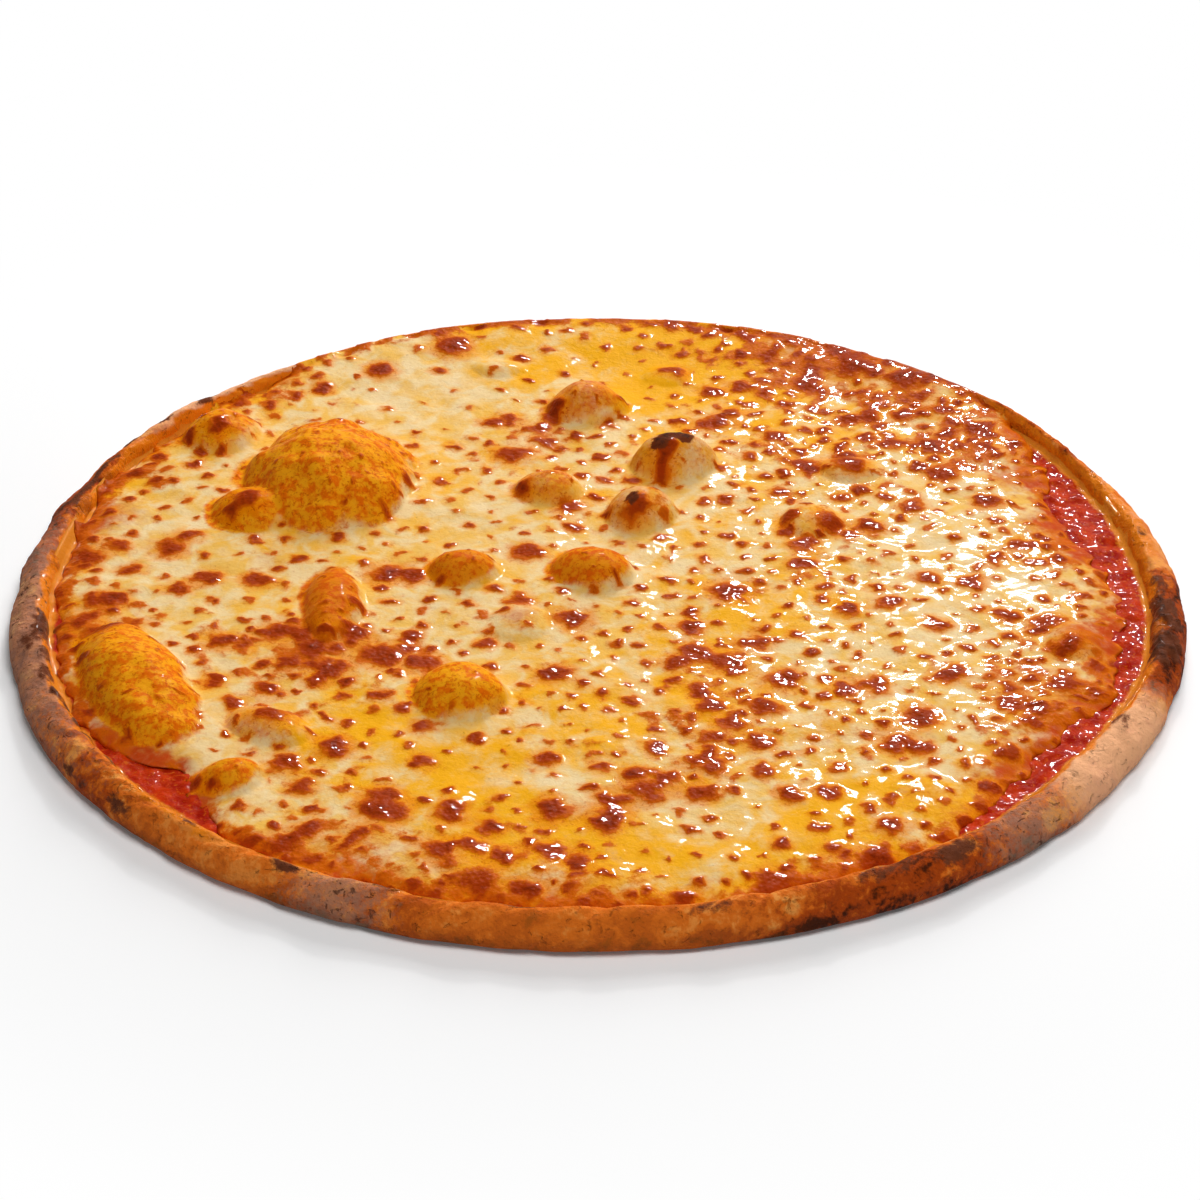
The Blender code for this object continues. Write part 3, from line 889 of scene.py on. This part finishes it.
def crust_fields(angle, across):
    """Looks of the crust from its place across the rim, 0 at the foot and 1 at the underside."""
    loop = crust_ground(angle, across)
    floured = swells(angle, [(188, 42, 1.0), (246, 10, 0.8), (314, 11, 0.8), (356, 20, 0.2)])
    peach = swells(angle, [(133, 26, 1.0), (330, 18, 1.3), (10, 20, 0.4)])
    # Golden places are baked colour, but across the front of the rim they are also painted light that
    # makes the side facing the camera lighter.
    golden_and_painted_light = swells(angle, [(231, 20, 1.0), (268, 34, 0.9), (14, 16, 0.8), (92, 60, 0.9)])
    toast = 0.46 + 0.30 * hills(*loop, 8, 61, 3) + 0.55 * ease(across, 0.60, 0.90)
    toast += swells(angle, [(300, 24, 0.35), (262, 28, 0.25), (352, 18, 0.55), (163, 18, 0.4)])
    toast -= 0.35 * peach + 0.15 * golden_and_painted_light
    oil = ease(across + 0.06 * hills(*loop, 4, 62, 2), 0.34, 0.16)
    strips = swells(angle, [(16, 18, 1.2), (92, 56, 1.0), (226, 12, 0.9), (350, 14, 0.5)])
    oil = np.maximum(oil, strips * ease(across + 0.08 * hills(*loop, 6, 66, 2), 0.52, 0.36))
    wobble = 0.45 * hills(*loop, 2.2, 63, 3)
    char = np.zeros_like(angle)
    raised = np.zeros_like(angle)
    for where, place, half_long, half_wide, burnt, lift in BURNS:
        along = ((np.degrees(angle) - where + 180) % 360 - 180) * math.pi / 180 * 150 / half_long
        wide = (across - place) * SECTION_LENGTH / half_wide
        away = np.sqrt(along**2 + wide**2) + wobble
        char = np.maximum(char, burnt * ease(away, 1.5, 0.3))
        raised += lift * ease(away, 1.2, 0.2)
    return {"flour": np.clip(floured, 0, 1), "golden_and_painted_light": np.clip(golden_and_painted_light, 0, 1),
            "peach": np.clip(peach, 0, 1), "toast": np.clip(toast, 0, 1),
            "oil": np.clip(oil, 0, 1), "char": char, "raised": raised}


def crust_mesh():
    share_in, extra, high = crust_section()
    mesh, ring, angle = rolled_sheet(BED_RINGS + RIM_STEPS + UNDER_RINGS, CRUST_SECTORS)
    step = np.clip(ring - BED_RINGS, 0, RIM_STEPS - 1)
    across = step / (RIM_STEPS - 1)
    fields = crust_fields(angle, across)
    rim_radius = outline(angle) - share_in[step] * rim_width(angle) - extra[step]
    foot = ease(across, 0.0, 0.12)
    height = high[step] * rim_height(angle) * foot + BED_TOP * (1 - foot)
    body = ease(across, 0.04, 0.2) * ease(across, 0.97, 0.7)
    loop = crust_ground(angle, across)
    lumps = 0.75 * hills(*loop, 15, 64, 2) + 0.38 * hills(*loop, 4.5, 67, 2)
    lumps += 0.16 * hills(*loop, 1.4, 65)
    out = (lumps + fields.pop("raised")) * body * (1 - 0.8 * at_back(angle, 66))
    facing = np.interp(across, [0, 0.2, 0.42, 0.6, 0.75, 1.0], [2.4, 1.9, 1.35, 0.6, 0.0, -1.2])
    rim_radius = np.minimum(rim_radius + out * np.cos(facing), outline(angle))
    height = np.maximum(height + out * np.sin(facing), 0.02)
    height[ring >= BED_RINGS + RIM_STEPS - 1] = 0.0
    inward = np.concatenate([[0.0, 0.6, 0.96], np.ones(RIM_STEPS), [0.9, 0.5, 0.0]])
    write_fields(mesh, fields)
    roll_up(mesh, rim_radius * inward[ring], angle, height)
    return mesh


print("the rim has", RIM_STEPS, "steps across and", CRUST_SECTORS, "sectors round")

# %% [markdown]
# Baked dough is matt. Its colour goes from peach through orange to brown, with flour, pits and
# dark specks over that, and yellow oil that ran off the cheese along its inner side.

# %% The crust's look
def crust_material():
    board = Board("baked crust")
    fine = board.grain(0.5, 3, 0.6)
    small = board.grain(1.6, 4, 0.6)
    patch = board.grain(6, 4, 0.6, 0.4)
    toast = board.field("toast") + (patch - 0.5) * 1.9 + (small - 0.5) * 0.9
    colour = board.blend(paint(248, 160, 74), paint(226, 112, 30), board.ramp(toast, 0.10, 0.42))
    colour = board.blend(colour, paint(176, 70, 16), board.ramp(toast, 0.40, 0.75))
    colour = board.blend(colour, paint(76, 30, 10), board.ramp(toast, 0.80, 1.15))
    # The golden field is partly painted light: it lightens the front of the rim.
    golden_and_painted_light = board.ramp(board.field("golden_and_painted_light") + (small - 0.5) * 0.3, 0.2, 0.9)
    colour = board.blend(colour, paint(242, 126, 36), golden_and_painted_light * 0.5)
    pale = board.ramp(board.field("peach") + (small - 0.5) * 0.5, 0.2, 0.9)
    colour = board.blend(colour, paint(252, 190, 146), pale * 0.8)
    dust = board.field("flour")
    flour = board.ramp(dust + (small - 0.5) * 1.1 + (fine - 0.5) * 0.5, 0.2, 0.95)
    colour = board.blend(colour, paint(172, 138, 114), flour * 0.62)
    specks = board.ramp(board.grain(1.2, 3, 0.7), 0.58, 0.70) * (0.25 + dust)
    colour = board.blend(colour, paint(92, 56, 38), specks * 0.6)
    oil = board.ramp(board.field("oil") + (small - 0.5) * 0.5, 0.25, 0.8)
    colour = board.blend(colour, paint(246, 136, 20), oil)
    browned = board.ramp(toast + (fine - 0.5) * 0.6, 0.55, 0.95) * oil
    colour = board.blend(colour, paint(150, 56, 10), browned * 0.6)
    burnt = board.field("char") + (small - 0.5) * 0.8 + (fine - 0.5) * 0.5
    colour = board.blend(colour, paint(112, 58, 34), board.ramp(burnt, 0.10, 0.65))
    colour = board.blend(colour, paint(50, 32, 24), board.ramp(burnt, 0.65, 1.30))
    rough = 0.84 - oil * 0.40 - fine * 0.1
    pits = board.ramp(board.grain(2.6, 3, 0.6, 0.8), 0.60, 0.70)
    colour = board.blend(colour, paint(78, 44, 26), pits * (0.15 + 0.7 * dust))
    normal = board.bump(board.grain(2.4, 3, 0.6), 0.70)
    normal = board.bump(1 - pits, 0.35, 1.0, normal)
    normal = board.bump(board.grain(0.7, 4, 0.65), 0.20, 1.0, normal)
    return board.finish(Base_Color=colour, Roughness=rough, Normal=normal, Coat_Weight=oil * 0.25,
                        Coat_Roughness=0.12, Specular_IOR_Level=0.15)


add_piece("baked_crust", crust_mesh(), crust_material(), "dough_crust")

# %% [markdown]
# A white table and soft light. The key lamp is small and stands behind the pizza, low enough to
# glance off the wet cheese towards the camera: that is what makes food sparkle. The other two
# lamps are large. They give the soft light and shadow, and are kept out of the gloss. For the
# camera the table also glows, a little near the pizza and plain white away from it: painted
# light, which fades the shadow out with distance.

# %% Floor and light
def add_floor():
    mesh = bmesh.new()
    bmesh.ops.create_grid(mesh, x_segments=1, y_segments=1, size=12)
    data = bpy.data.meshes.new("table")
    mesh.to_mesh(data)
    mesh.free()
    floor = bpy.data.objects.new("table", data)
    bpy.context.collection.objects.link(floor)
    board = Board("white table")
    matt = board.node("ShaderNodeBsdfDiffuse", {}, {"Color": (0.8, 0.8, 0.8, 1)})
    bright = board.node("ShaderNodeBsdfDiffuse", {}, {"Color": (0.98, 0.98, 0.98, 1)})
    # Painted light: for the camera the table glows, faintly near the pizza and fully white beyond 0.28 m
    # from the middle, so the shadow fades out between 0.16 and 0.28 m.
    white = board.node("ShaderNodeEmission", {}, {"Color": (1, 1, 1, 1), "Strength": 0.07})
    near = board.node("ShaderNodeAddShader", {}, {0: bright, 1: white})
    away = board.node("ShaderNodeVectorMath", {"operation": "LENGTH"}, {0: board.place}, out="Value")
    plain = board.node("ShaderNodeEmission", {}, {"Color": (1, 1, 1, 1), "Strength": 1.0})
    far = board.ramp(away, 0.16, 0.28)
    seen = board.node("ShaderNodeMixShader", {}, {0: far, 1: near, 2: plain})
    camera_ray = board.node("ShaderNodeLightPath", out="Is Camera Ray")
    both = board.node("ShaderNodeMixShader", {}, {0: camera_ray, 1: matt, 2: seen})
    data.materials.append(board.show(both))


def add_lamp(name, place, aim, size, power, glints=False):
    data = bpy.data.lights.new(name, "AREA")
    data.shape = "RECTANGLE"
    data.size, data.size_y = size
    data.energy = power
    lamp = bpy.data.objects.new(name, data)
    lamp.rotation_mode = "QUATERNION"
    lamp.rotation_quaternion = (Vector(aim) - Vector(place)).to_track_quat("-Z", "Y")
    lamp.location = place
    lamp.visible_glossy = glints
    bpy.context.collection.objects.link(lamp)
    print(f"{name} lamp: {power} W, {Vector(place).length:.2f} m away")


def light_world(strength):
    world = bpy.data.worlds.new("soft light")
    world.use_nodes = True
    tree = world.node_tree
    tree.nodes.clear()
    path = tree.nodes.new("ShaderNodeLightPath")
    seen = tree.nodes.new("ShaderNodeMath")
    seen.operation = "MAXIMUM"
    tree.links.new(path.outputs["Is Camera Ray"], seen.inputs[0])
    tree.links.new(path.outputs["Is Transmission Ray"], seen.inputs[1])
    level = tree.nodes.new("ShaderNodeMapRange")
    level.inputs["To Min"].default_value = strength
    level.inputs["To Max"].default_value = 1.0
    tree.links.new(seen.outputs[0], level.inputs["Value"])
    back = tree.nodes.new("ShaderNodeBackground")
    back.inputs["Color"].default_value = (1, 1, 1, 1)
    tree.links.new(level.outputs[0], back.inputs["Strength"])
    end = tree.nodes.new("ShaderNodeOutputWorld")
    tree.links.new(back.outputs[0], end.inputs["Surface"])
    bpy.context.scene.world = world


add_floor()
add_lamp("key", (0.24, 1.53, 0.92), (0.03, 0, 0), (0.15, 0.10), 5, glints=True)
add_lamp("window", (0.36, 1.62, 0.80), (0, 0, 0), (0.9, 1.2), 29)
add_lamp("overhead", (0.3, -0.5, 1.6), (0, 0, 0), (1.0, 1.0), 16)
light_world(0.064)
